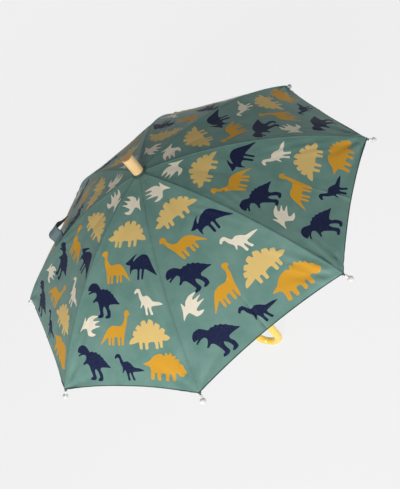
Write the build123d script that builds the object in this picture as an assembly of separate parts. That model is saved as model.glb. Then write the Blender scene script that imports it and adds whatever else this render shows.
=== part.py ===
from build123d import *
import os
from math import asin, atan, atan2, cos, degrees, hypot, radians, sin, tan

# A child's umbrella, open: eight two-piece ribs on a steel shaft, a sliding runner, eight cloth gores.
# Z runs up the shaft. The origin is on the shaft's axis, in the middle of the handle's straight grip.
# The crook of the handle points along +X, midway between two ribs. Everything is in millimetres.

# ---- Driving dimensions ----
RIBS = 8
PITCH = 360 / RIBS              # angle from one rib to the next
FIRST_RIB = PITCH / 2           # azimuth of rib 1
APEX_Z = 500.0                  # height of the top of the canopy's curve
DOME_RADIUS = 626.0             # arc of the cloth along a rib
DOME_SLOPE = 4.8                # slope of that arc where it crosses the shaft's axis
BALL_REACH = 360.0              # from the axis to the middle of a tip ball
CLOTH = 0.8                     # thickness of a gore
CLOTH_GAP = 0.3                 # between a gore and the ribs, and between two gores
GORE_INNER = 10.7               # from the axis to a gore's top edge
CORNER_REACH = 352.4            # from the axis to a gore's corner
HEM_REACH = 346.0               # reach of the ribs at which the hem's middle lies
STRETCHER_CLOSED = 5.4          # lean of a stretcher from the shaft when the umbrella is closed

PIVOT_REACH = 7.6               # from the axis to the wire rings that the ribs and stretchers turn on
ELBOW_REACH = 148.0             # from the axis to the rivet between rib and stretcher
WIRE = 1.2                      # thickness of the wire rings
PIN_CLEARANCE = 0.08            # radial, between a pin or wire and what turns on it

RIB_WIDTH = 3.2                 # outer width of the rib's steel channel
RIB_HEIGHT = 3.0
SHEET = 0.5                     # thickness of the channels' steel
ROD_RADIUS = 1.3                # outer rib, a glass-fibre rod
TONGUE = 1.2                    # thickness of the flat ends that run in the slots
TAB = 1.6                       # thickness of the rod's flat end at the elbow
BALL_RADIUS = 4.8               # tip at a rib's outer end
STEM_RADIUS = 2.5
STEM_LENGTH = 9.4               # from the ball's middle to the stem's open end
ROD_STRAIGHT = 14.0             # straight end of the rod, from the ball's middle back
STRETCHER_WIDTH = 4.8
STRETCHER_HEIGHT = 3.0
FORK = 9.5                      # open fork at the stretcher's elbow end
RIVET_RADIUS = 0.75
RIVET_HEAD = 1.4
RIVET_HEAD_THICKNESS = 0.6
SLOT = 1.8                      # width of the slots in the notch and the runner

SHAFT_RADIUS = 5.0
SHAFT_WALL = 0.8
SHAFT_BOTTOM = 5.0              # height of the tube's lower end, inside the handle
SHAFT_TOP = 525.0               # height of the tube's upper end, inside the ferrule
HUB_RADIUS = 9.3                # notch and runner crown
FERRULE_TOP = 537.0
FERRULE_RADIUS = 9.9
FERRULE_STRAIGHT = 30.0         # length of its cylindrical wall, above the cloth
ROSETTE_RADIUS = 15.0
ROSETTE_THICKNESS = 1.0
STOP_RADIUS = 1.0               # cross pin that keeps the runner from going too far up
STOP_LENGTH = 13.0
STOP_RISE = 6.0                 # from the open runner's pivots up to that pin
PIN_RADIUS = 1.25               # pin that holds the handle on the tube
PIN_Z = 25.0

RUNNER_BORE = 5.15
SLEEVE_RADIUS = 7.0
SLEEVE_LENGTH = 34.0
WINDOW_WIDTH = 3.2              # window in the runner that a catch's tooth springs into
WINDOW_HEIGHT = 10.0
WINDOW_DROP = 17.0              # from the runner's pivots down to the window's middle
TOOTH_HEIGHT = 9.0
TOOTH_REACH = 6.7               # from the axis to a released tooth's point
CATCH_WIDTH = 2.0
LEAF_INNER = 3.1                # the catch's leaf, from its inner face to its outer face
LEAF_OUTER = 3.7
LEAF_HALF = 16.0

GRIP_RADIUS = 8.45
GRIP_HALF = 45.0                # half the straight grip's length
CROOK_RADIUS = 25.7             # centreline of the crook
CROOK_TAIL = 12.0               # straight end of the crook, past its half turn

STRAP_REACH = 206.0             # where the tie strap is sewn to the seam of rib 1
STRAP_WIDTH = 30.0
STRAP_THICKNESS = 1.2
STRAP_BASE = 3.2                # from the rib's centreline up to the strap's underside
SNAP_RADIUS = 5.5
SNAP_THICKNESS = 1.6
SNAP_OFFSET = 10.0              # from the seam to the middle of the stud
SNAP_SEAT = 0.3                 # the stud's washer stands this far off the cloth

# ---- Worked out from them ----
ARC_X = -DOME_RADIUS * sin(radians(DOME_SLOPE))
ARC_Z = APEX_Z - DOME_RADIUS * cos(radians(DOME_SLOPE))
RIB_ARC = DOME_RADIUS - CLOTH - CLOTH_GAP - RIB_HEIGHT / 2
ARC_AXIS = Axis((ARC_X, 0, ARC_Z), (0, 1, 0))


def arc_angle(reach, radius=RIB_ARC):
    """Slope, in degrees, of a rib-wise arc where it is this far from the shaft's axis."""
    return degrees(asin((reach - ARC_X) / radius))


def on_arc(angle, radius=RIB_ARC):
    """The point of a rib-wise arc at this slope, in the XZ plane."""
    return Vector(ARC_X + radius * sin(radians(angle)), 0, ARC_Z + radius * cos(radians(angle)))


def arc_step(length):
    """The angle that a length along the rib's arc covers."""
    return degrees(length / RIB_ARC)


def rib_plane(angle):
    """A plane across the rib at this slope: its x runs along +Y, its y outwards through the cloth."""
    along = Vector(cos(radians(angle)), 0, -sin(radians(angle)))
    return Plane(origin=on_arc(angle), x_dir=(0, 1, 0), z_dir=along)


def along_rib(section, start, end):
    """A section swept along the rib's arc, from one slope to another."""
    return revolve(rib_plane(start) * section, axis=ARC_AXIS, revolution_arc=end - start)


def across(point, radius, width):
    """A cylinder along Y, centred on a point of the XZ plane."""
    return Pos(point.X, point.Y, point.Z) * Rot(90, 0, 0) * Cylinder(radius, width)


def ring(outer, inner, bottom, top):
    """A tube round the shaft's axis."""
    return Pos(0, 0, (bottom + top) / 2) * (Cylinder(outer, top - bottom) - Cylinder(inner, top - bottom))


def block(x_from, x_to, width, bottom, top):
    """A box centred on the XZ plane."""
    centre = Pos((x_from + x_to) / 2, 0, (bottom + top) / 2)
    return centre * Box(x_to - x_from, width, top - bottom)


def turned(shape, number):
    """A shape made in the XZ plane, turned to the azimuth of this rib."""
    return Rot(0, 0, FIRST_RIB + PITCH * (number - 1)) * shape


CROWN = on_arc(arc_angle(PIVOT_REACH))                   # rib's hinge on the notch
ELBOW = on_arc(arc_angle(ELBOW_REACH))                   # rivet of rib and stretcher
RUNNER_Z = 2 * ELBOW.Z - CROWN.Z                         # height of the runner's pivots, open
ARM = hypot(ELBOW.X - CROWN.X, ELBOW.Z - CROWN.Z)        # from either pivot to the elbow
OPEN_LEAN = degrees(atan2(ELBOW.X - CROWN.X, CROWN.Z - ELBOW.Z))
CLOSING_ANGLE = OPEN_LEAN - STRETCHER_CLOSED             # turn of a rib from open to closed
RUNNER_CLOSED_Z = CROWN.Z - 2 * ARM * cos(radians(STRETCHER_CLOSED))
STOP_Z = RUNNER_Z + STOP_RISE
NOTCH_TOP = CROWN.Z + 1.8
NOTCH_BOTTOM = CROWN.Z - 4.5
ROSETTE_BOTTOM = on_arc(arc_angle(GORE_INNER, DOME_RADIUS), DOME_RADIUS).Z + CLOTH_GAP
ROSETTE_TOP = ROSETTE_BOTTOM + ROSETTE_THICKNESS


# ---- Shaft, handle and top ----
def catch_height(pivot_z):
    """Middle of the window when the runner's pivots are at this height."""
    return pivot_z - WINDOW_DROP


def make_shaft():
    tube = ring(SHAFT_RADIUS, SHAFT_RADIUS - SHAFT_WALL, SHAFT_BOTTOM, SHAFT_TOP)
    for pivot_z in (RUNNER_Z, RUNNER_CLOSED_Z):
        middle = catch_height(pivot_z)
        reach = TOOTH_HEIGHT / 2 + 1.0
        tube -= block(0, SHAFT_RADIUS + 1, CATCH_WIDTH + 0.6, middle - reach, middle + reach)
    tube -= Pos(0, 0, STOP_Z) * Rot(90, 0, 0) * Cylinder(STOP_RADIUS, 3 * SHAFT_RADIUS)
    tube -= Pos(0, 0, PIN_Z) * Rot(90, 0, 0) * Cylinder(PIN_RADIUS, 3 * SHAFT_RADIUS)
    return tube


def make_stop_pin():
    return Pos(0, 0, STOP_Z) * Rot(90, 0, 0) * Cylinder(STOP_RADIUS, STOP_LENGTH)


def make_handle_pin():
    return Pos(0, 0, PIN_Z) * Rot(90, 0, 0) * Cylinder(PIN_RADIUS, 2 * GRIP_RADIUS - 0.6)


def make_handle():
    """A straight grip, a half turn towards +X and a short straight tail with a domed end."""
    grip = Pos(0, 0, 0) * Cylinder(GRIP_RADIUS, 2 * GRIP_HALF)
    turn_axis = Axis((CROOK_RADIUS, 0, -GRIP_HALF), (0, 1, 0))
    end_face = Plane(origin=(0, 0, -GRIP_HALF), z_dir=(0, 0, -1)) * Circle(GRIP_RADIUS)
    turn = revolve(end_face, axis=turn_axis, revolution_arc=-180)
    tail = Pos(2 * CROOK_RADIUS, 0, -GRIP_HALF + CROOK_TAIL / 2) * Cylinder(GRIP_RADIUS, CROOK_TAIL)
    dome = Pos(2 * CROOK_RADIUS, 0, -GRIP_HALF + CROOK_TAIL) * Sphere(GRIP_RADIUS)
    body = grip + turn + tail + dome
    depth = GRIP_HALF - SHAFT_BOTTOM
    body -= Pos(0, 0, SHAFT_BOTTOM + depth / 2) * Cylinder(SHAFT_RADIUS, depth)
    body -= Pos(0, 0, PIN_Z) * Rot(90, 0, 0) * Cylinder(PIN_RADIUS, 3 * GRIP_RADIUS)
    return body


def make_handle_collar():
    """A stepped ring that closes the top of the grip round the tube."""
    outline = Polyline(
        (SHAFT_RADIUS, GRIP_HALF),
        (GRIP_RADIUS + 0.6, GRIP_HALF),
        (GRIP_RADIUS + 0.6, GRIP_HALF + 4),
        (SHAFT_RADIUS + 1.2, GRIP_HALF + 8),
        (SHAFT_RADIUS, GRIP_HALF + 8),
        close=True,
    )
    return revolve(Plane.XZ * make_face(outline), axis=Axis.Z)


def make_ferrule():
    """A blunt turned wooden cap, straight and then slightly tapered, on the top of the tube."""
    bottom = ROSETTE_TOP
    outline = Polyline(
        (0, bottom),
        (FERRULE_RADIUS, bottom),
        (FERRULE_RADIUS, bottom + FERRULE_STRAIGHT),
        (FERRULE_RADIUS - 0.3, FERRULE_TOP - 1.0),
        (FERRULE_RADIUS - 1.2, FERRULE_TOP),
        (0, FERRULE_TOP),
        close=True,
    )
    cap = revolve(Plane.XZ * make_face(outline), axis=Axis.Z)
    return cap - Pos(0, 0, (bottom + SHAFT_TOP) / 2) * Cylinder(SHAFT_RADIUS, SHAFT_TOP - bottom)


def slotted(hub, bottom, top):
    """Cuts a slot through the rim of a hub at each rib, from one height to another."""
    floor = PIVOT_REACH - RIB_HEIGHT / 2 - 0.3
    for number in range(1, RIBS + 1):
        hub -= turned(block(floor, 2 * HUB_RADIUS, SLOT, bottom, top), number)
    return hub


def wire_ring(height, clearance=0.0):
    """The wire that the flat ends are threaded on, or, with a clearance, the groove it lies in."""
    return Pos(0, 0, height) * Torus(PIVOT_REACH, WIRE / 2 + clearance)


def make_notch():
    hub = ring(HUB_RADIUS, SHAFT_RADIUS, NOTCH_BOTTOM, NOTCH_TOP)
    return slotted(hub, NOTCH_BOTTOM - 1, NOTCH_TOP + 1) - wire_ring(CROWN.Z, 0.02)


def make_crown_washer():
    return ring(HUB_RADIUS, SHAFT_RADIUS, NOTCH_TOP, ROSETTE_BOTTOM)


def make_rosette():
    return ring(ROSETTE_RADIUS, SHAFT_RADIUS, ROSETTE_BOTTOM, ROSETTE_TOP)


# ---- Runner ----
def make_runner():
    """A sleeve on the tube, with a slotted crown for the stretchers and a window for the catches."""
    crown_bottom = RUNNER_Z - 5.0
    body = ring(SLEEVE_RADIUS, RUNNER_BORE, RUNNER_Z - SLEEVE_LENGTH, crown_bottom)
    crown = ring(HUB_RADIUS, RUNNER_BORE, crown_bottom, RUNNER_Z + 2.0)
    crown = slotted(crown, RUNNER_Z - 2.6, RUNNER_Z + 3.0) - wire_ring(RUNNER_Z, 0.02)
    middle = catch_height(RUNNER_Z)
    half = WINDOW_HEIGHT / 2
    return body + crown - block(0, HUB_RADIUS, WINDOW_WIDTH, middle - half, middle + half)


def make_runner_guard():
    """A rounded plastic cover over the sleeve, flared at its lower edge, with a hole for the tooth."""
    top = RUNNER_Z - 5.0
    bottom = RUNNER_Z - SLEEVE_LENGTH
    flare = HUB_RADIUS + 3.0
    outline = Polyline((SLEEVE_RADIUS, bottom), (SLEEVE_RADIUS, top), (HUB_RADIUS, top), (HUB_RADIUS, bottom + 12))
    outline += ThreePointArc(
        (HUB_RADIUS, bottom + 12), (HUB_RADIUS + 0.9, bottom + 6), (flare, bottom + 2)
    )
    outline += Line((flare, bottom + 2), (flare, bottom))
    outline += Line((flare, bottom), (SLEEVE_RADIUS, bottom))
    cover = revolve(Plane.XZ * make_face(outline), axis=Axis.Z)
    middle = catch_height(RUNNER_Z)
    half = WINDOW_HEIGHT / 2 + 1.0
    return cover - block(0, 2 * HUB_RADIUS, WINDOW_WIDTH + 3, middle - half, middle + half)


def make_catch(pivot_z, shoulder_up):
    """A leaf inside the tube with a wedge tooth that stands out through the tube's slot."""
    middle = catch_height(pivot_z)
    leaf = block(LEAF_INNER, LEAF_OUTER, CATCH_WIDTH, middle - LEAF_HALF, middle + LEAF_HALF)
    side = 1 if shoulder_up else -1
    wedge = Polyline(
        (LEAF_OUTER, middle - side * TOOTH_HEIGHT / 2),
        (LEAF_OUTER, middle + side * TOOTH_HEIGHT / 2),
        (TOOTH_REACH, middle + side * TOOTH_HEIGHT / 2),
        close=True,
    )
    return leaf + extrude(Plane.XZ * make_face(wedge), CATCH_WIDTH / 2, both=True)


# ---- Ribs, stretchers and tips ----
def make_rib_inner():
    """A steel channel, open downwards, from its flat end in the notch to the elbow, with its rivet."""
    crown_angle = arc_angle(PIVOT_REACH)
    elbow_angle = arc_angle(ELBOW_REACH)
    tongue = along_rib(Rectangle(TONGUE, RIB_HEIGHT), crown_angle, crown_angle + arc_step(8))
    tongue += across(CROWN, RIB_HEIGHT / 2, TONGUE)
    root = along_rib(
        Rectangle(RIB_WIDTH, RIB_HEIGHT), crown_angle + arc_step(6.4), crown_angle + arc_step(10)
    )
    channel = Rectangle(RIB_WIDTH, RIB_HEIGHT) - Pos(0, -SHEET) * Rectangle(RIB_WIDTH - 2 * SHEET, RIB_HEIGHT)
    flanges = channel - Pos(0, RIB_HEIGHT / 2 - SHEET / 2) * Rectangle(RIB_WIDTH, SHEET)
    body = along_rib(channel, crown_angle + arc_step(9), elbow_angle - arc_step(3.6))
    cheeks = along_rib(flanges, elbow_angle - arc_step(3.8), elbow_angle)
    cheeks += across(ELBOW, RIB_HEIGHT / 2, RIB_WIDTH) - across(ELBOW, RIB_HEIGHT, RIB_WIDTH - 2 * SHEET)
    rib = tongue + root + body + cheeks
    rib -= across(CROWN, WIRE / 2 + PIN_CLEARANCE + 0.02, RIB_WIDTH)
    rib -= across(ELBOW, RIVET_RADIUS, 2 * RIB_WIDTH)
    return Compound([solid_of(rib), solid_of(make_rivet())])


def make_rivet():
    head = STRETCHER_WIDTH / 2 + 0.2
    rivet = across(ELBOW, RIVET_RADIUS, 2 * head)
    for side in (-1, 1):
        middle = side * (head + RIVET_HEAD_THICKNESS / 2)
        rivet += Pos(0, middle, 0) * across(ELBOW, RIVET_HEAD, RIVET_HEAD_THICKNESS)
    return rivet


def solid_of(shape):
    """The one solid of a finished shape."""
    solids = shape.solids()
    assert len(solids) == 1, f"{len(solids)} solids where one is meant"
    return solids[0]


def tip_frame():
    """A frame at the ball's middle, with its Z pointing outwards along the rod."""
    angle = arc_angle(BALL_REACH)
    along = Vector(cos(radians(angle)), 0, -sin(radians(angle)))
    return Plane(origin=on_arc(angle), x_dir=(0, 1, 0), z_dir=along)


def make_rib_outer():
    """A springy rod from the elbow to the tip, flattened to an eye at the elbow."""
    elbow_angle = arc_angle(ELBOW_REACH)
    end_angle = arc_angle(BALL_REACH) - arc_step(ROD_STRAIGHT)
    tab = along_rib(Rectangle(TAB, RIB_HEIGHT), elbow_angle, elbow_angle + arc_step(8))
    tab += across(ELBOW, RIB_HEIGHT / 2, TAB)
    rod = along_rib(Circle(ROD_RADIUS), elbow_angle + arc_step(5), end_angle)
    rod_end = on_arc(end_angle)
    frame = tip_frame()
    to_tip = (frame.origin - rod_end).length
    straight = Plane(origin=rod_end, z_dir=frame.origin - rod_end) * Pos(0, 0, to_tip / 2)
    straight = straight * Cylinder(ROD_RADIUS, to_tip)
    return tab + rod + straight - across(ELBOW, RIVET_RADIUS + PIN_CLEARANCE, 2 * TAB)


def make_tip():
    """A moulded ball on a short stem, pushed over the end of the rod."""
    rod_end = on_arc(arc_angle(BALL_REACH) - arc_step(ROD_STRAIGHT))
    frame = tip_frame()
    axis = Plane(origin=frame.origin, z_dir=frame.origin - rod_end)
    tip = axis * Sphere(BALL_RADIUS)
    tip += axis * Pos(0, 0, -STEM_LENGTH / 2) * Cylinder(STEM_RADIUS, STEM_LENGTH)
    return tip - axis * Pos(0, 0, -STEM_LENGTH) * Cylinder(ROD_RADIUS, 2 * STEM_LENGTH)


def make_stretcher():
    """A steel channel, open towards the rib, from its flat end in the runner to the forked elbow."""
    foot = Vector(PIVOT_REACH, 0, RUNNER_Z)
    frame = Plane(origin=foot, x_dir=(0, 1, 0), z_dir=ELBOW - foot)
    length = (ELBOW - foot).length

    def straight(section, start, end):
        return extrude(frame * Pos(0, 0, start) * section, end - start, dir=frame.z_dir)

    # The plane's y must point down and outwards, away from the rib, or the channel is turned over.
    away = 1 if frame.y_dir.Z > 0 else -1
    outer = Rectangle(STRETCHER_WIDTH, STRETCHER_HEIGHT)
    hollow = Rectangle(STRETCHER_WIDTH - 2 * SHEET, STRETCHER_HEIGHT)
    channel = outer - Pos(0, away * SHEET) * hollow
    fork = outer - Rectangle(STRETCHER_WIDTH - 2 * SHEET, 2 * STRETCHER_HEIGHT)
    tongue = straight(Rectangle(TONGUE, RIB_HEIGHT), 0, 15) + across(foot, RIB_HEIGHT / 2, TONGUE)
    root = straight(outer, 13, 17)
    body = straight(channel, 16, length - FORK)
    cheeks = straight(fork, length - FORK - 0.2, length)
    cheeks += across(ELBOW, STRETCHER_HEIGHT / 2, STRETCHER_WIDTH) - across(
        ELBOW, STRETCHER_HEIGHT, STRETCHER_WIDTH - 2 * SHEET
    )
    stretcher = tongue + root + body + cheeks
    stretcher -= across(foot, WIRE / 2 + PIN_CLEARANCE + 0.02, STRETCHER_WIDTH)
    return stretcher - across(ELBOW, RIVET_RADIUS + PIN_CLEARANCE, 2 * STRETCHER_WIDTH)


# ---- Canopy ----
def make_gore():
    """A thin curved panel of cloth centred on the XZ plane, half a pitch to each side of it.

    The cloth is taut between its two ribs, so its section in the middle plane is the rib's arc,
    narrowed by the cosine of half a pitch, and it runs straight across.
    """
    narrowing = cos(radians(PITCH / 2))
    reaches = [GORE_INNER * 0.5 + (CORNER_REACH + 8 - GORE_INNER * 0.5) * n / 10 for n in range(11)]

    def section_curve(radius):
        points = [on_arc(arc_angle(reach, radius), radius) for reach in reaches]
        return Spline([(narrowing * reach, point.Z) for reach, point in zip(reaches, points)])

    top, bottom = section_curve(DOME_RADIUS), section_curve(DOME_RADIUS - CLOTH)
    outline = Curve() + [top, bottom, Line(top @ 0, bottom @ 0), Line(top @ 1, bottom @ 1)]
    sheet = extrude(Plane.XZ * make_face(outline), CORNER_REACH / 2, both=True)
    half_gap = CLOTH_GAP / 2 / sin(radians(PITCH / 2))
    spread = 2 * CORNER_REACH * sin(radians(PITCH / 2))
    far = half_gap + 2 * CORNER_REACH * narrowing
    wedge = make_face(Polyline((half_gap, 0), (far, spread), (far, -spread), close=True))
    tall = 2 * APEX_Z
    sheet &= extrude(wedge, tall)
    sheet -= Pos(0, 0, APEX_Z) * Cylinder(GORE_INNER, APEX_Z)
    half_width = CORNER_REACH * sin(radians(PITCH / 2))
    sag = (CORNER_REACH - HEM_REACH) * narrowing
    hem_radius = (half_width**2 + sag**2) / (2 * sag)
    return sheet - Pos(HEM_REACH * narrowing + hem_radius, 0, APEX_Z) * Cylinder(hem_radius, APEX_Z)


def make_gores():
    gore = make_gore()
    return {f"gore_{n}": Rot(0, 0, PITCH / 2) * turned(gore, n) for n in range(1, RIBS + 1)}


# ---- Tie strap ----
def strap_frame():
    """A frame at the seam of rib 1: Z along the rib, X across the gore towards rib 8, Y outwards."""
    plane = rib_plane(arc_angle(STRAP_REACH))
    frame = Plane(origin=plane.origin, x_dir=(0, -1, 0), z_dir=-plane.z_dir)
    return Rot(0, 0, FIRST_RIB) * frame.location


# The strap's underside, as distances across from the seam and out from the sewn edge.
STRAP_FOLD = [(0, 0), (9, 3), (15, 13), (27, 14), (40, 4), (62, -7.5)]
STRAP_BENDS = [8, 6, 8, 9]


def make_strap():
    """A short folded strip that lifts off the seam, bends over and comes back down to the cloth."""
    middle = STRAP_BASE + STRAP_THICKNESS / 2
    line = FilletPolyline([(x, middle + y) for x, y in STRAP_FOLD], radius=STRAP_BENDS)
    section = offset(line, amount=STRAP_THICKNESS / 2, side=Side.BOTH)
    return strap_frame() * extrude(make_face(section), STRAP_WIDTH / 2, both=True)


def make_snap_socket():
    """Upper half of the press fastener, on the strap's free end."""
    bend, end = Vector(*STRAP_FOLD[-2]), Vector(*STRAP_FOLD[-1])
    along = end - bend
    seat = bend + along * 0.55
    top = STRAP_BASE + STRAP_THICKNESS / 2 + seat.Y
    lean = Rot(0, 0, degrees(atan2(along.Y, along.X)))
    disc = Pos(0, (STRAP_THICKNESS + SNAP_THICKNESS) / 2, 0) * Rot(90, 0, 0)
    return strap_frame() * Pos(seat.X, top, 0) * lean * disc * Cylinder(SNAP_RADIUS, SNAP_THICKNESS)


def make_snap_stud():
    """Lower half of the press fastener, sewn to the cloth under the strap's arch."""
    fall = sin(radians(arc_angle(STRAP_REACH))) * tan(radians(PITCH / 2))
    cloth_top = RIB_HEIGHT / 2 + CLOTH_GAP + CLOTH - SNAP_OFFSET * fall
    seat = Pos(SNAP_OFFSET, cloth_top + SNAP_SEAT, 0) * Rot(0, 0, -degrees(atan(fall)))
    stud = Cylinder(SNAP_RADIUS, SNAP_THICKNESS) + Pos(0, 0, -1.5) * Cylinder(2.0, 1.6)
    return strap_frame() * seat * Pos(0, SNAP_THICKNESS / 2, 0) * Rot(90, 0, 0) * stud


# ---- Everything, by name ----
def all_parts():
    parts = {
        "shaft_tube": make_shaft(),
        "stop_pin": make_stop_pin(),
        "handle": make_handle(),
        "handle_pin": make_handle_pin(),
        "handle_collar": make_handle_collar(),
        "ferrule": make_ferrule(),
        "crown_rosette": make_rosette(),
        "crown_washer": make_crown_washer(),
        "notch": make_notch(),
        "notch_wire": wire_ring(CROWN.Z),
        "upper_catch": make_catch(RUNNER_Z, shoulder_up=True),
        "lower_catch": make_catch(RUNNER_CLOSED_Z, shoulder_up=False),
        "runner": make_runner(),
        "runner_wire": wire_ring(RUNNER_Z),
        "runner_guard": make_runner_guard(),
        "tie_strap": make_strap(),
        "snap_socket": make_snap_socket(),
        "snap_stud": make_snap_stud(),
    }
    makers = {
        "rib_inner": make_rib_inner(),
        "rib_outer": make_rib_outer(),
        "stretcher": make_stretcher(),
        "tip": make_tip(),
    }
    for name, shape in makers.items():
        for number in range(1, RIBS + 1):
            parts[f"{name}_{number}"] = turned(shape, number)
    parts.update(make_gores())
    return parts


os.makedirs("parts", exist_ok=True)
for name, shape in all_parts().items():
    export_step(shape, f"parts/{name}.step")
print(f"crown {CROWN.X:.3f} {CROWN.Z:.3f}, elbow {ELBOW.X:.3f} {ELBOW.Z:.3f}, runner {RUNNER_Z:.3f}")
print(f"arm {ARM:.3f}, closing angle {CLOSING_ANGLE:.3f}, runner closed {RUNNER_CLOSED_Z:.3f}")
print(f"ferrule from {ROSETTE_TOP:.3f}")
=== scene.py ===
"""Looks for the child's umbrella: printed cloth, seams, strap, materials, studio and camera."""

import math

import bmesh
import bpy
import numpy as np
from mathutils import Matrix, Vector, geometry


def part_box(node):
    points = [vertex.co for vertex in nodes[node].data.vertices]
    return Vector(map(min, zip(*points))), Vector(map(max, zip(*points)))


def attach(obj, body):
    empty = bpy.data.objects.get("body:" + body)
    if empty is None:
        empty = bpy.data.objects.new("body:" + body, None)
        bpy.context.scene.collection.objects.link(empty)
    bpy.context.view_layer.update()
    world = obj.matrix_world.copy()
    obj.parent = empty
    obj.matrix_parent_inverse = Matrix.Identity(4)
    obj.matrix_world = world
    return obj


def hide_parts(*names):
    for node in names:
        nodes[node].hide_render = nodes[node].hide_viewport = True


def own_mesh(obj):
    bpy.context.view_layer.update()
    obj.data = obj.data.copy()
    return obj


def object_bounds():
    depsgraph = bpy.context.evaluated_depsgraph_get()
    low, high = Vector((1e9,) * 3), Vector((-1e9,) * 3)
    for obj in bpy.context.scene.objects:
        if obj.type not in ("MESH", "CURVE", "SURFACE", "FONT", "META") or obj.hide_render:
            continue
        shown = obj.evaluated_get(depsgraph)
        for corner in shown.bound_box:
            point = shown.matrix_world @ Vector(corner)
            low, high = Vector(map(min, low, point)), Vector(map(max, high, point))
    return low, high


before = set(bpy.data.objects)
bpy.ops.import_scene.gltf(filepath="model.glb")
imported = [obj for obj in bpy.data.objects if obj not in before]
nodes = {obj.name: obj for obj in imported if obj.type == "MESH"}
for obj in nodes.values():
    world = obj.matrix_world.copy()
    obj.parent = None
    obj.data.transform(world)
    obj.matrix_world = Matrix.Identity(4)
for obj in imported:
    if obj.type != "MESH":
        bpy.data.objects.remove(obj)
cad_low, cad_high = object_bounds()

# ---- The canopy's shape, in metres and degrees, as the CAD has it ----
RIBS = 8
PITCH = math.radians(360 / RIBS)
HALF_PITCH = PITCH / 2
COS_HALF, SIN_HALF = math.cos(HALF_PITCH), math.sin(HALF_PITCH)
DOME_RADIUS = 0.626
APEX_Z = 0.500
DOME_SLOPE = math.radians(4.8)
ARC_X = -DOME_RADIUS * math.sin(DOME_SLOPE)
ARC_Z = APEX_Z - DOME_RADIUS * math.cos(DOME_SLOPE)
INNER_REACH = 0.0107
ELBOW_REACH = 0.148
CORNER_REACH = 0.3524
HEM_REACH = 0.346
CLOTH = 0.0005


def rib_azimuth(number):
    return HALF_PITCH + PITCH * (number - 1)


def next_rib(number):
    return number % RIBS + 1


def arc_height(reach):
    """Height of the cloth above a rib, at this distance from the shaft's axis."""
    return ARC_Z + np.sqrt(DOME_RADIUS**2 - (np.asarray(reach) - ARC_X) ** 2)


def slope_at(reach):
    return math.asin((reach - ARC_X) / DOME_RADIUS)


# Distance down the middle of a gore's flat pattern, against reach along its ribs.
REACHES = np.linspace(0, CORNER_REACH + 0.004, 1200)
HEIGHTS = arc_height(REACHES)
DOWN = np.concatenate([[0.0], np.cumsum(np.hypot(np.diff(REACHES) * COS_HALF, np.diff(HEIGHTS)))])


def off_cloth(azimuth, slope):
    """The direction square to the cloth over a rib at this azimuth, where the cloth has this slope."""
    return Vector((math.sin(slope) * math.cos(azimuth), math.sin(slope) * math.sin(azimuth), math.cos(slope)))


def down_at(reach):
    return float(np.interp(reach, REACHES, DOWN))


def reach_at(down):
    return np.interp(down, DOWN, REACHES)


def material(name, colour, roughness, metallic=0.0, **sockets):
    made = bpy.data.materials.new(name)
    made.use_nodes = True
    shader = made.node_tree.nodes["Principled BSDF"]
    shader.inputs["Base Color"].default_value = (*colour, 1)
    shader.inputs["Roughness"].default_value = roughness
    shader.inputs["Metallic"].default_value = metallic
    for socket, value in sockets.items():
        shader.inputs[socket.replace("_", " ")].default_value = value
    return made


def srgb(red, green, blue):
    """A colour given as 0 to 255 display values."""
    return tuple(
        c / 12.92 if c <= 0.04045 else ((c + 0.055) / 1.055) ** 2.4
        for c in (red / 255, green / 255, blue / 255)
    )


def add_node(made, kind, **settings):
    node = made.node_tree.nodes.new(kind)
    for key, value in settings.items():
        if key in node.inputs:
            node.inputs[key].default_value = value
        else:
            setattr(node, key, value)
    return node


def mottle(made, colour, other, scale, low=0.4, high=0.65, coordinate="Object", detail=3.0):
    """Varies the base colour between two colours with a noise, and returns the noise."""
    tree = made.node_tree
    shader = tree.nodes["Principled BSDF"]
    where = add_node(made, "ShaderNodeTexCoord")
    noise = add_node(made, "ShaderNodeTexNoise", Scale=scale, Detail=detail)
    ramp = add_node(made, "ShaderNodeValToRGB")
    ramp.color_ramp.elements[0].position = low
    ramp.color_ramp.elements[1].position = high
    ramp.color_ramp.elements[0].color = (*colour, 1)
    ramp.color_ramp.elements[1].color = (*other, 1)
    tree.links.new(where.outputs[coordinate], noise.inputs["Vector"])
    tree.links.new(noise.outputs["Fac"], ramp.inputs["Fac"])
    tree.links.new(ramp.outputs["Color"], shader.inputs["Base Color"])
    return noise


def bump(made, height, strength, distance):
    tree = made.node_tree
    node = add_node(made, "ShaderNodeBump", Strength=strength, Distance=distance)
    tree.links.new(height, node.inputs["Height"])
    tree.links.new(node.outputs["Normal"], tree.nodes["Principled BSDF"].inputs["Normal"])
    return node


def grain(made, colour, other, scale, strength, depth, low=0.4, high=0.65):
    """Mottles the colour, and raises the surface with the same noise."""
    bump(made, mottle(made, colour, other, scale, low, high).outputs["Fac"], strength, depth)


def weave(made, thread=0.0007, strength=0.25):
    """Crossing threads, in the flat pattern's own coordinates."""
    tree = made.node_tree
    where = add_node(made, "ShaderNodeUVMap")
    total = add_node(made, "ShaderNodeMath", operation="ADD")
    for number, direction in enumerate(("X", "Y")):
        wave = add_node(made, "ShaderNodeTexWave", Scale=0.314 / thread, Distortion=0.4)
        wave.bands_direction = direction
        tree.links.new(where.outputs["UV"], wave.inputs["Vector"])
        tree.links.new(wave.outputs["Fac"], total.inputs[number])
    bump(made, total.outputs[0], strength, 0.0001)


def shade(colour, factor):
    return tuple(c * factor for c in colour)


def toward(colour, other, share):
    return tuple(a + (b - a) * share for a, b in zip(colour, other))


GREEN = srgb(103, 143, 134)
PRINTS = {
    "cloth": GREEN,
    "cream": srgb(238, 229, 209),
    "sand": srgb(224, 193, 122),
    "mustard": srgb(216, 159, 48),
    "navy": srgb(30, 36, 70),
    # the hem green is darker than the cloth: painted shade, along the hem's edge and in the collar under the
    # ferrule
    "hem": srgb(48, 78, 70),
}
PALE_INSIDE = srgb(150, 176, 166)


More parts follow.
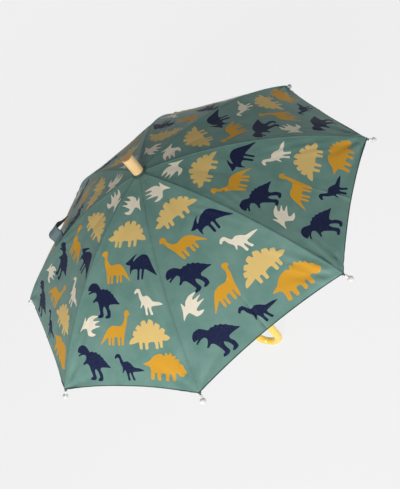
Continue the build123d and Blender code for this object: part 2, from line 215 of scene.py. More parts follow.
def cloth_material(name, colour):
    made = material(name, colour, 0.50, Specular_IOR_Level=0.14)
    mottle(made, shade(colour, 0.93), toward(colour, (1, 1, 1), 0.04), 34.0, 0.3, 0.7)
    weave(made)
    return made


def print_material(name, colour):
    """Ink on the cloth: a little matt, with pinholes where the ground shows through."""
    made = material(name, colour, 0.60, Specular_IOR_Level=0.10)
    mottle(made, toward(colour, GREEN, 0.45), colour, 950.0, 0.27, 0.36, "UV", 1.0)
    weave(made)
    return made


outside = {}
inside = {}
for name, colour in PRINTS.items():
    maker = cloth_material if name in ("cloth", "hem") else print_material
    outside[name] = maker(f"{name}_outside", colour)
    inside[name] = cloth_material(f"{name}_inside", toward(toward(colour, GREEN, 0.55), PALE_INSIDE, 0.45))
SURFACES = list(PRINTS)
CLOTH_MATERIALS = [outside[n] for n in SURFACES] + [inside[n] for n in SURFACES]

# ---- Printed silhouettes: x to the right, y up towards the apex, in millimetres ----
LONG_NECK = [
    (-30, 20), (-27, 26), (-22, 27), (-18.5, 23), (-19.5, 15), (-15, 6), (-8, 2.5), (2, 4), (11, 2),
    (18, -5), (25, -15), (32, -26), (21, -18), (14.5, -14), (15, -25.5), (11, -26), (9.5, -15.5),
    (7.5, -15.5), (7.5, -26.5), (3.5, -26.5), (2.5, -15), (-3.5, -14.5), (-4, -26.5), (-8, -26.5),
    (-9, -14.5), (-11, -14), (-11.5, -26.5), (-15.5, -26), (-19, -8), (-24, 8), (-25.5, 18),
]
PLATED = [
    (-40, -6), (-34, -2), (-29, 0), (-31, 6), (-25, 9), (-21, 6), (-21.5, 13), (-14, 16.5), (-10.5, 11.5),
    (-9, 19.5), (-1, 22.5), (2, 15), (6.5, 21.5), (14, 18.5), (13.5, 12), (20, 14.5), (25, 9), (21.5, 5),
    (28.5, 6), (31, -1), (27.5, -3), (35, -7), (39, -14.5), (30, -14), (22, -12), (19.5, -12),
    (18.5, -22), (13.5, -22), (13, -13), (8.5, -13), (7.5, -22.5), (2.5, -22), (1.5, -13), (-10, -12),
    (-12, -21.5), (-17, -21.5), (-17, -12), (-19, -12), (-21, -20.5), (-25.5, -19.5), (-25.5, -10),
    (-33, -10.5),
]
HUNTER = [
    (-33, 17), (-31, 24), (-25, 28.5), (-16, 28), (-10, 22), (-6, 17.5), (-1, 18.5), (3, 16.5), (7, 17.5),
    (10, 14), (14, 13.5), (16, 10), (20, 8), (22, 4.5), (26, 1), (28, -2), (34, -8), (23, -7.5), (14, -8),
    (12, -12), (15.5, -19), (15, -28), (7, -29.5), (4.5, -27), (9, -23), (6, -14), (1.5, -10),
    (0, -16), (1.5, -25), (-3, -28), (-11, -27.5), (-10.5, -24), (-6, -22), (-8.5, -11), (-11, -4),
    (-15, -1), (-20, -3), (-23, -1.5), (-18, 3), (-15, 8), (-17, 12.5), (-23, 13), (-31, 10.5),
    (-31.5, 13), (-26, 15.5),
]
CRESTED = [
    (-32, 7), (-25, 12), (-19, 17), (-10, 21.5), (-16, 14), (-17, 9), (-12, 13), (-5, 17.5), (3, 19),
    (11, 17), (17, 10), (24, -2), (34, -17), (24, -12), (14, -7), (7, -5.5), (6.5, -20), (2.5, -20),
    (2.5, -5.5), (-1.5, -5), (-2, -20), (-6, -20), (-7, -5), (-14, -3.5), (-18.5, -5.5), (-21, -12),
    (-22.5, -3.5), (-22.5, 3), (-27, 4),
]
RUNNER_BIPED = [
    (-28, 15), (-23, 20), (-17, 19), (-14, 13.5), (-10, 7.5), (-3, 8.5), (4, 4.5), (10, -1), (20, -2.5),
    (29, -6), (20, -7.5), (11, -8), (6.5, -9), (7, -14), (10, -20.5), (6, -21), (3, -14), (0.5, -9),
    (-1, -13), (0, -20.5), (-4, -21), (-5.5, -12), (-9, -5), (-13, -10), (-14.5, -9), (-13, -2),
    (-17.5, 6), (-19.5, 13), (-23, 14), (-26, 12),
]
HORNED = [
    (-40, 4), (-28, 8.5), (-21, 14.5), (-12, 18.5), (-4, 19), (1, 15.5), (5, 21), (9, 17), (13.5, 21),
    (16.5, 15.5), (22, 16), (21.5, 11), (27, 11), (27.5, 5), (33, 2.5), (35, -3), (38.5, -9), (34, -14.5),
    (27, -13.5), (23, -9.5), (18.5, -10.5), (18, -20.5), (12.5, -20.5), (11, -11.5), (7, -11.5),
    (6, -20.5), (0.5, -20.5), (0, -11.5), (-8, -10.5), (-9, -20), (-14.5, -20), (-16, -10), (-19.5, -9.5),
    (-22, -19), (-28, -18.5), (-26.5, -6), (-29, 0),
]
FLYER = [
    (-22, -10), (-15, 2), (-10, 14), (-8, 6), (-3, 12), (6, 15.5), (18, 14), (9, 10), (8, 6.5),
    (21, 6.5), (12, 2.5), (11, -0.5), (22, -2), (11, -5), (3, -8), (4, -12), (12, -15), (5, -18),
    (-3, -16.5), (-6.5, -9), (-9, -5), (-15, -6),
]
# Silhouette, ink, across and down the gore in millimetres, turn in degrees, mirrored or not.
LAYOUT = [
    (FLYER, "cream", 3, 63, 8, True),
    (PLATED, "sand", 4, 114, 0, False),
    (LONG_NECK, "mustard", -15, 167, 0, False),
    (CRESTED, "navy", 37, 171, 0, False),
    (HUNTER, "navy", -37, 220, 0, False),
    (RUNNER_BIPED, "cream", 54, 226, 0, False),
    (FLYER, "cream", -65, 259, 0, False),
    (LONG_NECK, "mustard", -13, 265, 0, True),
    (PLATED, "sand", 53, 276, 0, True),
    (HUNTER, "navy", -62, 319, 0, False),
    (RUNNER_BIPED, "navy", 10, 325, 0, False),
    (HORNED, "mustard", 78, 325, 0, False),
]


def rounded(points, steps=3, tightness=0.38):
    """A closed smooth line through these points."""
    found = []
    count = len(points)
    for i in range(count):
        before, here, there, after = (Vector(points[(i + n - 1) % count]) for n in range(4))
        leave = (there - before) * tightness
        arrive = (after - here) * tightness
        for step in range(steps):
            t = step / steps
            square, cube = t * t, t * t * t
            found.append(
                here * (2 * cube - 3 * square + 1)
                + leave * (cube - 2 * square + t)
                + there * (3 * square - 2 * cube)
                + arrive * (cube - square)
            )
    return found


def placed(points, across, down, turn, mirrored):
    """A silhouette in the gore's flat pattern, in metres: x across, y down."""
    angle = math.radians(turn)
    found = []
    for point in rounded(points):
        x = -point.x if mirrored else point.x
        y = -point.y
        found.append(
            (
                (across + x * math.cos(angle) - y * math.sin(angle)) / 1000,
                (down + x * math.sin(angle) + y * math.cos(angle)) / 1000,
            )
        )
    return np.array(found)


def inside_polygon(points, polygon):
    """Which of these points lie inside a closed polygon."""
    x, y = points[:, 0][:, None], points[:, 1][:, None]
    x0, y0 = polygon[:, 0], polygon[:, 1]
    x1, y1 = np.roll(x0, -1), np.roll(y0, -1)
    crosses = (y0 > y) != (y1 > y)
    at = x0 + (y - y0) * (x1 - x0) / np.where(y1 == y0, 1e-12, y1 - y0)
    return (crosses & (x < at)).sum(1) % 2 == 1


# ---- The flat pattern of one gore ----
ELBOW_DOWN = down_at(ELBOW_REACH)
CROWN_DOWN = down_at(0.065)
HEM_SHADE_BAND = 0.0017               # width of the darker band along the hem: painted shade at the cloth's edge
GRID = 0.0055                   # spacing of the pattern's inner points


def hem_down(across):
    """The hem hangs a little short in the middle of a gore."""
    half_width = CORNER_REACH * SIN_HALF
    sag = (CORNER_REACH - HEM_REACH) * COS_HALF
    radius = (half_width**2 + sag**2) / (2 * sag)
    plan = HEM_REACH * COS_HALF + radius - np.sqrt(radius**2 - np.asarray(across) ** 2)
    return np.interp(plan / COS_HALF, REACHES, DOWN)


def half_width_at(down):
    return reach_at(down) * SIN_HALF


def flat_pattern():
    """Points, triangles and the surface of each triangle, for one whole gore laid flat."""
    top = down_at(INNER_REACH)
    widest = CORNER_REACH * SIN_HALF
    hem_across = np.linspace(-widest, widest, 61)
    hem = np.column_stack([hem_across, hem_down(hem_across)])
    side_down = np.linspace(top, hem[0, 1], 70)
    left = np.column_stack([-half_width_at(side_down), side_down])
    right = left * (-1, 1)
    outline = np.vstack([left[:-1], hem[:-1], right[::-1]])
    points, edges = [], []

    def add_line(line, closed=False):
        start = len(points)
        points.extend(Vector(p) for p in line)
        edges.extend((start + i, start + i + 1) for i in range(len(line) - 1))
        if closed:
            edges.append((start + len(line) - 1, start))

    add_line(outline, closed=True)
    add_line(np.column_stack([hem_across * 1.01, hem_down(hem_across) - HEM_SHADE_BAND]))
    middle_down = np.linspace(top - 0.001, float(hem_down(0)) + 0.001, 70)
    add_line(np.column_stack([np.zeros(70), middle_down]))
    for split in (CROWN_DOWN, ELBOW_DOWN):
        split_across = np.linspace(-1, 1, 31) * (half_width_at(split) + 0.001)
        add_line(np.column_stack([split_across, np.full(31, split)]))
    shapes = [(placed(s, x, y, turn, mirror), ink) for s, ink, x, y, turn, mirror in LAYOUT]
    for shape, _ in shapes:
        add_line(shape, closed=True)
    fixed = np.array([tuple(p) for p in points])

    grid = []
    for row, y in enumerate(np.arange(top + GRID / 2, 0.37, GRID * 0.87)):
        start = -0.14 + (row % 2) * GRID / 2
        grid.extend((x, y) for x in np.arange(start, 0.14, GRID))
    grid = np.array(grid)
    grid = grid[inside_polygon(grid, outline)]
    nearest = np.array([np.hypot(*(fixed - g).T).min() for g in grid])
    points.extend(Vector(g) for g in grid[nearest > GRID * 0.35])

    verts, _, faces, *_ = geometry.delaunay_2d_cdt(points, edges, [], 1, 1e-6)
    verts = np.array([tuple(v) for v in verts])
    faces = [f for f in faces if len(f) == 3]
    centres = np.array([verts[f].mean(0) for f in faces])
    keep = inside_polygon(centres, outline)
    faces = [f for f, k in zip(faces, keep) if k]
    centres = centres[keep]
    surface = np.zeros(len(faces), int)
    for shape, ink in shapes:
        surface[inside_polygon(centres, shape)] = SURFACES.index(ink)
    hem_at = hem_down(np.clip(centres[:, 0], -widest, widest))
    # triangles in the band along the hem take the darker hem green: painted shade at the edge
    surface[centres[:, 1] > hem_at - HEM_SHADE_BAND] = SURFACES.index("hem")
    return verts, faces, centres, surface


def puckers(verts, number):
    """How far the cloth stands off its smooth shape, at each point of the flat pattern, in metres."""
    across, down = verts[:, 0], verts[:, 1]
    width = np.maximum(half_width_at(down), 1e-4)
    share = np.clip(across / width, -1, 1)
    length = down_at(CORNER_REACH)
    from_seam = width - np.abs(across)
    at_seam = np.clip(from_seam / 0.006, 0, 1)
    phase = 1.7 * number + 2.1 * (across > 0)
    off = -0.0022 * (1 - share**2) * np.sin(np.pi * np.clip(down / length, 0, 1)) ** 0.8
    turn = 2 * np.pi * down
    along_seam = np.sin(turn / 0.021 + phase) + 0.6 * np.sin(turn / 0.013 + 2.3 * phase)
    off += 0.00022 * np.exp(-from_seam / 0.010) * along_seam * (from_seam > 0.0001)
    corner_across = np.sign(across) * CORNER_REACH * SIN_HALF
    away = np.hypot(across - corner_across, down - length)
    angle = np.arctan2(np.abs(corner_across - across), length - down)
    folds = np.sin(angle * 11 + phase) + 0.5 * np.sin(angle * 23 + 2 * phase)
    off += 0.0019 * folds * np.exp(-((away / 0.062) ** 2)) * np.clip(away / 0.018, 0, 1) * at_seam
    pleats = np.cos(np.pi * share * 4 + phase * 0.4)
    off += 0.0007 * pleats * np.exp(-down / 0.030) * np.clip(from_seam / 0.002, 0, 1)
    creases = np.sin(2 * np.pi * (from_seam + 0.22 * down) / 0.017 + phase)
    band = np.exp(-(((from_seam - 0.020) / 0.020) ** 2)) * at_seam
    patches = (0.6 + 0.4 * np.sin(down / 0.030 + 1.3 * phase)) * np.clip((down - 0.10) / 0.06, 0, 1)
    off += 0.0009 * creases * band * patches
    slack = np.sin(down / 0.031 + 2.2 * share + phase) * np.sin(np.pi * share)
    return off + 0.0011 * slack * np.clip(from_seam / 0.03, 0, 1)


def lifted(verts, number, off):
    """The flat pattern's points, in place on the umbrella between rib `number` and the next."""
    azimuth = rib_azimuth(number) + HALF_PITCH
    out = np.array([math.cos(azimuth), math.sin(azimuth), 0])
    side = np.array([-math.sin(azimuth), math.cos(azimuth), 0])
    reach = reach_at(verts[:, 1])
    plan = reach * COS_HALF
    rise = np.gradient(HEIGHTS, REACHES * COS_HALF)
    steep = np.interp(reach, REACHES, rise)
    normal = np.column_stack([-steep, np.ones_like(steep)]) / np.sqrt(1 + steep**2)[:, None]
    plan = plan + normal[:, 0] * off
    height = arc_height(reach) + normal[:, 1] * off
    return plan[:, None] * out + verts[:, 0][:, None] * side + height[:, None] * np.array([0, 0, 1])


def mesh_object(name, points, faces, materials, surface=None, uv=None, smooth=True):
    mesh = bpy.data.meshes.new(name)
    mesh.from_pydata([tuple(p) for p in points], [], [tuple(f) for f in faces])
    for made in materials:
        mesh.materials.append(made)
    if surface is not None:
        mesh.polygons.foreach_set("material_index", np.asarray(surface, np.int32))
    if uv is not None:
        layer = mesh.uv_layers.new(name="flat")
        corners = np.zeros(len(mesh.loops), np.int32)
        mesh.loops.foreach_get("vertex_index", corners)
        layer.data.foreach_set("uv", np.asarray(uv, np.float32)[corners].ravel())
    mesh.polygons.foreach_set("use_smooth", [smooth] * len(mesh.polygons))
    mesh.update()
    made = bpy.data.objects.new(name, mesh)
    bpy.context.scene.collection.objects.link(made)
    return made


def fold_with_rib(piece):
    """Gives the half gore its own copy of its mesh."""
    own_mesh(piece)


def thicken(piece, thickness, inside_from=0):
    """Gives cloth its thickness, with a crisp border, so that two pieces that meet shade as one."""
    mesh = piece.data
    edge_of = np.zeros(len(mesh.loops), np.int32)
    mesh.loops.foreach_get("edge_index", edge_of)
    border = np.bincount(edge_of, minlength=len(mesh.edges)) == 1
    sharp = mesh.attributes.get("sharp_edge") or mesh.attributes.new("sharp_edge", "BOOLEAN", "EDGE")
    sharp.data.foreach_set("value", border)
    thick = piece.modifiers.new("cloth", "SOLIDIFY")
    thick.thickness = thickness
    thick.offset = -1.0
    thick.material_offset = inside_from


def make_canopy():
    verts, faces, centres, surface = flat_pattern()
    low = centres[:, 1] > ELBOW_DOWN
    crown = centres[:, 1] < CROWN_DOWN
    right = centres[:, 0] > 0
    triangles = np.array(faces)
    for number in range(1, RIBS + 1):
        points = lifted(verts, number, puckers(verts, number))
        for part, in_part in (("crown", crown), ("top", ~low & ~crown), ("low", low)):
            for side, towards, on_side in (("a", 1, ~right), ("b", -1, right)):
                rib = number if side == "a" else next_rib(number)
                chosen = triangles[in_part & on_side]
                used, renumbered = np.unique(chosen, return_inverse=True)
                piece = mesh_object(
                    f"gore_{number}{side}_{part}",
                    points[used],
                    renumbered.reshape(chosen.shape)[:, ::-1],
                    CLOTH_MATERIALS,
                    surface[in_part & on_side],
                    verts[used],
                )
                thicken(piece, CLOTH, len(SURFACES))
                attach(piece, f"rib_end_{rib}" if part == "low" else f"rib_{rib}")
                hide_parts(f"gore_{number}")
                fold_with_rib(piece)


make_canopy()

# ---- Seam tapes, stitches and rib ties ----
thread = material("thread", srgb(58, 88, 80), 0.7, Sheen_Weight=0.3)
mottle(thread, srgb(52, 80, 72), srgb(70, 102, 92), 900.0)
tape_cloth = outside["cloth"]


def along_rib(rib, reach, aside=0.0, out=0.0):
    """A point beside a rib: along it, across it and off the cloth."""
    slope = slope_at(reach)
    azimuth = rib_azimuth(rib)
    x = reach + math.sin(slope) * out
    z = float(arc_height(reach)) + math.cos(slope) * out
    fall = abs(aside) * math.sin(slope) * math.tan(HALF_PITCH) * 0.93
    x -= math.sin(slope) * fall
    z -= math.cos(slope) * fall
    return Vector(
        (
            x * math.cos(azimuth) - aside * math.sin(azimuth),
            x * math.sin(azimuth) + aside * math.cos(azimuth),
            z,
        )
    )


# Across, as a share of the tape's half width, and height, as a share of its ridge's.
TAPE_PROFILE = [
    (-1.0, 0.02), (-0.86, 0.30), (-0.35, 0.36), (0.0, 0.62), (0.35, 0.36), (0.86, 0.30), (1.0, 0.02),
]
TAPE_HALF = 0.0021
TAPE_RIDGE = 0.0009
TAPE_THICKNESS = 0.0003
STITCH_PITCH = 0.0031


def seam_tape(rib, part, start, end, body):
    """The felled seam over a rib: a narrow raised band with a ridge down its middle."""
    reaches = np.linspace(start, end, 60)
    points, uv, faces = [], [], []
    count = len(TAPE_PROFILE)
    for i, reach in enumerate(reaches):
        half = TAPE_HALF * min(1, reach / 0.03)
        gather = 1 + 0.10 * math.sin(reach / 0.0021 + rib)
        for across, height in TAPE_PROFILE:
            points.append(along_rib(rib, reach, across * half, height * TAPE_RIDGE * gather))
            uv.append((across * half, reach))
        if i:
            base = (i - 1) * count
            for n in range(count - 1):
                faces.append((base + n, base + n + 1, base + count + n + 1, base + count + n))
    piece = mesh_object(f"seam_{rib}_{part}", points, [f[::-1] for f in faces], [tape_cloth], uv=uv)
    thicken(piece, TAPE_THICKNESS)
    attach(piece, body)
    return piece


def stitch_rows(name, rows, body, length=0.0022, width=0.00028, height=0.00022):
    """Small raised stitches, one for each pair of a middle and a direction with its normal."""
    points, faces = [], []
    for middle, along, normal in rows:
        side = along.cross(normal).normalized()
        base = len(points)
        for share, swell in ((-0.5, 0.2), (-0.25, 1.0), (0.25, 1.0), (0.5, 0.2)):
            centre = middle + along * (length * share)
            for n in range(4):
                angle = math.pi / 2 * n
                aside = side * (math.cos(angle) * width * swell)
                points.append(centre + aside + normal * (math.sin(angle) * height * swell))
        for ring in range(3):
            for n in range(4):
                a, b = base + ring * 4 + n, base + ring * 4 + (n + 1) % 4
                faces.append((a, b, b + 4, a + 4))
        faces.append(tuple(base + n for n in (3, 2, 1, 0)))
        faces.append(tuple(base + 12 + n for n in range(4)))
    piece = mesh_object(name, points, faces, [thread])
    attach(piece, body)
    return piece


def seam_stitches(rib, part, start, end, body):
    rows = []
    reach = start
    while reach < end:
        slope = slope_at(reach)
        for aside in (-0.0014, 0.0014):
            middle = along_rib(rib, reach, aside, 0.00042)
            onward = along_rib(rib, reach + 0.001, aside, 0.00042) - middle
            rows.append((middle, onward.normalized(), off_cloth(rib_azimuth(rib), slope)))
        reach += STITCH_PITCH
    return stitch_rows(f"seam_stitches_{rib}_{part}", rows, body)


for rib in range(1, RIBS + 1):
    for part, start, end, body in (
        ("top", 0.0125, ELBOW_REACH, f"rib_{rib}"),
        ("low", ELBOW_REACH, CORNER_REACH - 0.002, f"rib_end_{rib}"),
    ):
        tape = seam_tape(rib, part, start, end, body)
        stitches = seam_stitches(rib, part, start + 0.004, end - 0.002, body)

# ---- Cloth collar under the ferrule ----
COLLAR_PROFILE = [
    (10.1, 2.6), (10.2, 1.9), (10.5, 1.3), (11.0, 0.9), (11.7, 0.6), (12.5, 0.3), (13.2, -0.1), (13.8, -0.9),
]
PLEATS = 16
COLLAR_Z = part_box("crown_rosette")[1].z


def make_collar():
    turns = PLEATS * 10
    points, uv, faces = [], [], []
    count = len(COLLAR_PROFILE)
    for turn in range(turns):
        angle = 2 * math.pi * turn / turns
        wave = abs(math.sin(PLEATS * angle / 2)) ** 0.6 - 0.5
        irregular = 1 + 0.35 * math.sin(3 * angle + 0.7)
        for n, (radius, height) in enumerate(COLLAR_PROFILE):
            share = n / (count - 1)
            reach = (radius + 0.35 * wave * share * irregular) / 1000
            rise = (height + 0.8 * wave * irregular * math.sin(math.pi * min(1, 0.15 + share)) + 0.25) / 1000
            points.append((reach * math.cos(angle), reach * math.sin(angle), COLLAR_Z + rise))
            uv.append((reach * math.cos(angle), reach * math.sin(angle)))
        onward = (turn + 1) % turns
        for n in range(count - 1):
            a, b = turn * count + n, onward * count + n
            faces.append((a, a + 1, b + 1, b))
    # the collar takes the darker hem green: painted shade under the ferrule
    piece = mesh_object("crown_collar", points, faces, [outside["hem"]], uv=uv)
    thicken(piece, CLOTH)
    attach(piece, "shaft")
    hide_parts("crown_rosette")
    rows = []
    for n in range(PLEATS * 2):
        angle = 2 * math.pi * (n + 0.5) / (PLEATS * 2)
        outward = Vector((math.cos(angle), math.sin(angle), 0))
        middle = outward * 0.0112 + Vector((0, 0, COLLAR_Z + 0.0014))
        rows.append((middle, Vector((-math.sin(angle), math.cos(angle), 0)), Vector((0, 0, 1))))
    stitches = stitch_rows("collar_stitches", rows, "shaft", 0.0020, 0.00045, 0.00045)


make_collar()

# ---- Tie strap ----
STRAP_REACH = 0.206
STRAP_LIFT = 0.0038
STRAP_HALF = 0.015
STRAP_FOLD = [(0, 0), (9, 3), (15, 13), (27, 14), (40, 4), (62, -7.5)]
RIB_DEPTH = 0.0026


def strap_point(across, out, along):
    """A point beside rib 1 at the strap: towards rib 8, off the rib's centreline, and up the rib."""
    radius = DOME_RADIUS - RIB_DEPTH
    slope = math.asin((STRAP_REACH - ARC_X) / radius)
    x = ARC_X + (radius + out) * math.sin(slope) - along * math.cos(slope)
    z = ARC_Z + (radius + out) * math.cos(slope) + along * math.sin(slope)
    azimuth = rib_azimuth(1)
    return Vector(
        (
            x * math.cos(azimuth) + across * math.sin(azimuth),
            x * math.sin(azimuth) - across * math.cos(azimuth),
            z,
        )
    )


def smooth_line(points, steps):
    """An open smooth line through these points."""
    ends = [Vector(points[0]) * 2 - Vector(points[1]), *map(Vector, points)]
    ends.append(Vector(points[-1]) * 2 - Vector(points[-2]))
    found = []
    for i in range(1, len(ends) - 2):
        before, here, there, after = ends[i - 1 : i + 3]
        for step in range(steps):
            t = step / steps
            found.append(
                0.5
                * (
                    2 * here
                    + (there - before) * t
                    + (2 * before - 5 * here + 4 * there - after) * t * t
                    + (3 * here - before - 3 * there + after) * t**3
                )
            )
    found.append(Vector(points[-1]))
    return found


def make_strap():
    line = smooth_line(STRAP_FOLD, 8)
    lengths = [0.0]
    for a, b in zip(line, line[1:]):
        lengths.append(lengths[-1] + (b - a).length / 1000)
    total = lengths[-1]
    columns = 21
    points, under, uv, faces, surface = [], [], [], [], []
    for i, (point, run) in enumerate(zip(line, lengths)):
        near, far = line[max(i - 1, 0)], line[min(i + 1, len(line) - 1)]
        tangent = (far - near).normalized()
        normal = Vector((-tangent.y, tangent.x))
        rounding = max(0.0, run - total + STRAP_HALF * 0.5) / (STRAP_HALF * 0.5)
        half = STRAP_HALF * math.sqrt(max(0.05, 1 - 0.75 * rounding**2))
        for column in range(columns):
            share = 2 * column / (columns - 1) - 1
            edge = max(0.0, abs(share) - 0.8) / 0.2
            body = 0.00062 * math.sqrt(1 - 0.8 * edge**2)
            ripple = 0.00035 * math.sin(run / 0.0062 + 2.0 * share) * (1 - 0.5 * abs(share))
            for side, store in ((1, points), (-1, under)):
                shift = normal * (side * body + ripple)
                store.append(
                    strap_point(point.x / 1000 + shift.x, STRAP_LIFT + point.y / 1000 + shift.y, share * half)
                )
            uv.append((share * half, run))
    rows = len(line)
    count = len(points)
    for row in range(rows - 1):
        for column in range(columns - 1):
            a = row * columns + column
            b = a + columns
            faces.append((a, a + 1, b + 1, b))
            faces.append((count + a, count + b, count + b + 1, count + a + 1))
            border = column in (0, columns - 2) or row == rows - 2
            surface += [int(border)] * 2
    ring = [*range(columns), *(r * columns + columns - 1 for r in range(1, rows))]
    ring += range(rows * columns - 2, (rows - 1) * columns - 1, -1)
    ring += [r * columns for r in range(rows - 2, 0, -1)]
    for a, b in zip(ring, ring[1:] + ring[:1]):
        faces.append((b, a, count + a, count + b))
        surface.append(1)
    piece = mesh_object(
        "tie_strap_cloth", points + under, faces, [strap_cloth, strap_edge], surface, uv + uv
    )
    mesh = bmesh.new()
    mesh.from_mesh(piece.data)
    bmesh.ops.recalc_face_normals(mesh, faces=mesh.faces)
    mesh.to_mesh(piece.data)
    mesh.free()
    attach(piece, "strap")
    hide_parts("tie_strap")
    rows_of_stitches = []
    for side in (-1, 1):
        for n in range(int(total / 0.0030) - 3):
            run = 0.004 + n * 0.0030
            i = min(range(rows), key=lambda k: abs(lengths[k] - run))
            near, far = line[max(i - 1, 0)], line[min(i + 1, rows - 1)]
            tangent = (far - near).normalized()
            share = (run - lengths[i]) * 1000
            at = line[i] + tangent * share
            up = Vector((-tangent.y, tangent.x)) * 0.00066
            beside = side * STRAP_HALF * 0.82
            foot = Vector((at.x / 1000, STRAP_LIFT + at.y / 1000))
            middle = strap_point(*(foot + up), beside)
            onward = strap_point(*(foot + up + tangent * 0.001), beside)
            above = strap_point(*(foot + 2 * up), beside)
            rows_of_stitches.append((middle, (onward - middle).normalized(), (above - middle).normalized()))
    stitches = stitch_rows("strap_stitches", rows_of_stitches, "strap")


strap_cloth = cloth_material("strap_cloth", srgb(92, 112, 116))
strap_edge = cloth_material("strap_edge", srgb(44, 56, 66))
make_strap()

# ---- Threads round the tips and ties round the ribs ----
def wraps(name, rings, body):
    """Small thread rings: each has a middle, an axis, a ring radius and a thread radius."""
    points, faces = [], []
    around, thick = 20, 6
    for middle, axis, radius, bead in rings:
        side = axis.cross(Vector((0.3, 0.5, 0.9))).normalized()
        other = axis.cross(side).normalized()
        base = len(points)
        for i in range(around):
            angle = 2 * math.pi * i / around
            outward = side * math.cos(angle) + other * math.sin(angle)
            for n in range(thick):
                turn = 2 * math.pi * n / thick
                on_ring = middle + outward * (radius + bead * math.cos(turn))
                points.append(on_ring + axis * (bead * math.sin(turn)))
        for i in range(around):
            for n in range(thick):
                a, b = base + i * thick + n, base + i * thick + (n + 1) % thick
                c, d = base + (i + 1) % around * thick + (n + 1) % thick, base + (i + 1) % around * thick + n
                faces.append((a, b, c, d))
    piece = mesh_object(name, points, faces, [thread])
    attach(piece, body)
    return piece


def rib_ring(rib, reach, depth, radius, bead):
    """A ring round something that lies this deep under the cloth of a rib."""
    middle = along_rib(rib, reach, 0.0, -depth)
    onward = along_rib(rib, reach + 0.001, 0.0, -depth) - middle
    return middle, onward.normalized(), radius, bead


for rib in range(1, RIBS + 1):
    tip_rings = [rib_ring(rib, 0.3508 + 0.00055 * n, 0.0026, 0.0026, 0.0003) for n in range(4)]
    wraps(f"tip_thread_{rib}", tip_rings, f"rib_end_{rib}")
    for reach, body in ((0.092, f"rib_{rib}"), (0.215, f"rib_end_{rib}"), (0.288, f"rib_end_{rib}")):
        size = 0.0021 if reach < ELBOW_REACH else 0.0017
        rings = [rib_ring(rib, reach + 0.0006 * n, 0.0023, size, 0.00026) for n in range(3)]
        wraps(f"rib_tie_{rib}_{round(reach * 1000)}", rings, body)

# ---- Finishes of the hard parts ----
chrome = material("chrome", (0.78, 0.79, 0.80), 0.2, 1.0)
grain(chrome, (0.74, 0.75, 0.76), (0.82, 0.83, 0.84), 220.0, 0.04, 0.0002)
strip_steel = material("strip_steel", (0.62, 0.64, 0.66), 0.36, 0.9)
grain(strip_steel, (0.55, 0.57, 0.59), (0.68, 0.70, 0.72), 320.0, 0.08, 0.0002)
glass_fibre = material("glass_fibre", (0.05, 0.05, 0.055), 0.42, Specular_IOR_Level=0.5)
grain(glass_fibre, (0.035, 0.035, 0.04), (0.09, 0.09, 0.095), 700.0, 0.15, 0.0002)
black_plastic = material("black_plastic", (0.03, 0.03, 0.032), 0.45)
grain(black_plastic, (0.02, 0.02, 0.022), (0.045, 0.045, 0.05), 1500.0, 0.25, 0.0002)
yellow = material(
    "yellow_plastic", srgb(245, 206, 88), 0.22, Coat_Weight=0.5, Coat_Roughness=0.08,
    Subsurface_Weight=0.15, Subsurface_Scale=0.004,
)
grain(yellow, srgb(243, 201, 78), srgb(248, 212, 100), 26.0, 0.03, 0.0006, 0.3, 0.7)
milky = material(
    "milky_plastic", (0.76, 0.78, 0.77), 0.22, Transmission_Weight=0.08, IOR=1.45,
    Subsurface_Weight=0.2, Subsurface_Scale=0.003,
)
grain(milky, (0.70, 0.73, 0.72), (0.80, 0.81, 0.80), 160.0, 0.03, 0.0003)
plated = material("plated_snap", (0.70, 0.71, 0.73), 0.3, 1.0)
grain(plated, (0.62, 0.63, 0.65), (0.78, 0.79, 0.80), 500.0, 0.06, 0.0002)


def wood_material():
    """Pale turned wood: grain along the shaft, and a darker sawn end."""
    made = material("wood", srgb(222, 186, 128), 0.42, Coat_Weight=0.25, Coat_Roughness=0.25)
    tree = made.node_tree
    where = add_node(made, "ShaderNodeTexCoord")
    stretch = add_node(made, "ShaderNodeMapping")
    stretch.inputs["Scale"].default_value = (1, 1, 0.09)
    tree.links.new(where.outputs["Object"], stretch.inputs["Vector"])
    rings = add_node(made, "ShaderNodeTexWave", Scale=90.0, Distortion=7.0, Detail=3.0)
    fibres = add_node(made, "ShaderNodeTexNoise", Scale=900.0, Detail=4.0)
    for texture in (rings, fibres):
        tree.links.new(stretch.outputs["Vector"], texture.inputs["Vector"])
    ramp = add_node(made, "ShaderNodeValToRGB")
    ramp.color_ramp.elements[0].color = (*srgb(222, 184, 126), 1)
    ramp.color_ramp.elements[1].color = (*srgb(232, 199, 145), 1)
    tree.links.new(rings.outputs["Fac"], ramp.inputs["Fac"])
    height = add_node(made, "ShaderNodeSeparateXYZ")
    tree.links.new(where.outputs["Object"], height.inputs["Vector"])
    end = add_node(made, "ShaderNodeMapRange")
    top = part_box("ferrule")[1].z
    end.inputs["From Min"].default_value = top - 0.0016
    end.inputs["From Max"].default_value = top
    tree.links.new(height.outputs["Z"], end.inputs["Value"])
    mix = add_node(made, "ShaderNodeMixRGB")
    mix.inputs["Color2"].default_value = (*srgb(204, 160, 104), 1)
    tree.links.new(end.outputs["Result"], mix.inputs["Fac"])
    tree.links.new(ramp.outputs["Color"], mix.inputs["Color1"])
    tree.links.new(mix.outputs["Color"], tree.nodes["Principled BSDF"].inputs["Base Color"])
    bump(made, fibres.outputs["Fac"], 0.12, 0.0003)
    return made


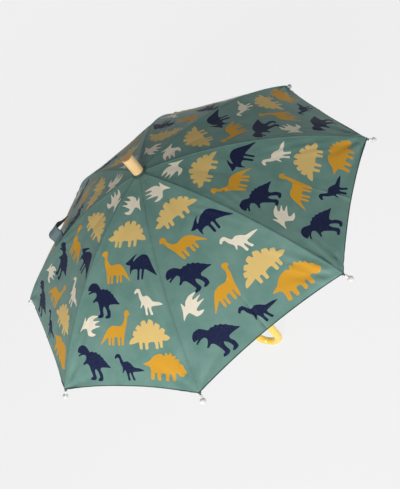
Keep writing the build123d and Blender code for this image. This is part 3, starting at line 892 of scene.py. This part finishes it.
FINISHES = [
    (("shaft_tube", "stop_pin", "handle_pin", "notch_wire", "runner_wire"), chrome),
    (("upper_catch", "lower_catch"), chrome),
    (("rib_inner", "stretcher"), strip_steel),
    (("rib_outer",), glass_fibre),
    (("notch", "runner", "runner_guard", "crown_washer"), black_plastic),
    (("handle", "handle_collar"), yellow),
    (("tip",), milky),
    (("snap_socket", "snap_stud"), plated),
    (("ferrule",), wood_material()),
]
finish_of = {name: made for names, made in FINISHES for name in names}
for name, node in nodes.items():
    stem = name.rstrip("0123456789").rstrip("_")
    made = finish_of.get(name) or finish_of.get(stem)
    if made:
        node.data.materials.clear()
        node.data.materials.append(made)

# ---- Studio ----
scene = bpy.context.scene
scene.view_settings.view_transform = "Standard"
world = bpy.data.worlds.new("studio")
world.use_nodes = True
world.node_tree.nodes["Background"].inputs["Color"].default_value = (0.93, 0.95, 0.97, 1)
world.node_tree.nodes["Background"].inputs["Strength"].default_value = 0.03
scene.world = world


def area_light(name, azimuth, elevation, distance, size, power, colour=(1, 1, 1)):
    light = bpy.data.lights.new(name, "AREA")
    light.energy = power
    light.size = size
    light.color = colour
    made = bpy.data.objects.new(name, light)
    a, e = math.radians(azimuth), math.radians(elevation)
    back = Vector((math.cos(a) * math.cos(e), math.sin(a) * math.cos(e), math.sin(e)))
    target = Vector((0, 0, 0.40))
    made.location = target + back * distance
    made.rotation_mode = "QUATERNION"
    made.rotation_quaternion = (-back).to_track_quat("-Z", "Y")
    scene.collection.objects.link(made)
    return made


area_light("key", 107, 19, 2.4, 0.8, 43, (1.0, 0.985, 0.96))
area_light("fill", 135, 70, 2.8, 1.6, 3, (0.98, 0.985, 1.0))

FLOOR_Z = cad_low.z - 0.0005
FLOOR_RADIUS, COVE_RADIUS, WALL_TOP = 3.0, 2.2, 3.0
floor_profile = [(FLOOR_RADIUS * n / 12, 0.0) for n in range(13)]
floor_profile += [
    (FLOOR_RADIUS + COVE_RADIUS * math.sin(math.radians(a)), COVE_RADIUS * (1 - math.cos(math.radians(a))))
    for a in range(6, 91, 6)
]
floor_profile.append((FLOOR_RADIUS + COVE_RADIUS, WALL_TOP))
SPOKES = 96
floor_points = [
    (r * math.cos(2 * math.pi * n / SPOKES), r * math.sin(2 * math.pi * n / SPOKES), FLOOR_Z + rise)
    for n in range(SPOKES)
    for r, rise in floor_profile
]
step = len(floor_profile)
floor_faces = [
    (n * step + i, n * step + i + 1, (n + 1) % SPOKES * step + i + 1, (n + 1) % SPOKES * step + i)
    for n in range(SPOKES)
    for i in range(step - 1)
]
floor_material = material("floor", (0.10, 0.10, 0.10), 0.95)
floor_material.node_tree.nodes["Principled BSDF"].inputs["Emission Color"].default_value = (1.0, 1.0, 1.0, 1)
floor_material.node_tree.nodes["Principled BSDF"].inputs["Emission Strength"].default_value = 0.81
floor = mesh_object("floor", floor_points, floor_faces, [floor_material])

# ---- Camera ----
camera_data = bpy.data.cameras.new("camera")
camera_data.sensor_width = 36
camera_data.lens = 49.57
camera_data.clip_end = 60
camera = bpy.data.objects.new("camera", camera_data)
CAMERA_PLACE = Vector((-0.6904, 0.6689, 1.1009))
CAMERA_AIM = Vector((-0.0723, 0.0707, 0.3794))
CAMERA_ROLL = math.radians(40.34)
camera.location = CAMERA_PLACE
camera.rotation_mode = "QUATERNION"
toward_aim = (CAMERA_AIM - CAMERA_PLACE).to_track_quat("-Z", "Y")
camera.rotation_quaternion = toward_aim @ Matrix.Rotation(-CAMERA_ROLL, 3, "Z").to_quaternion()
scene.collection.objects.link(camera)
scene.camera = camera
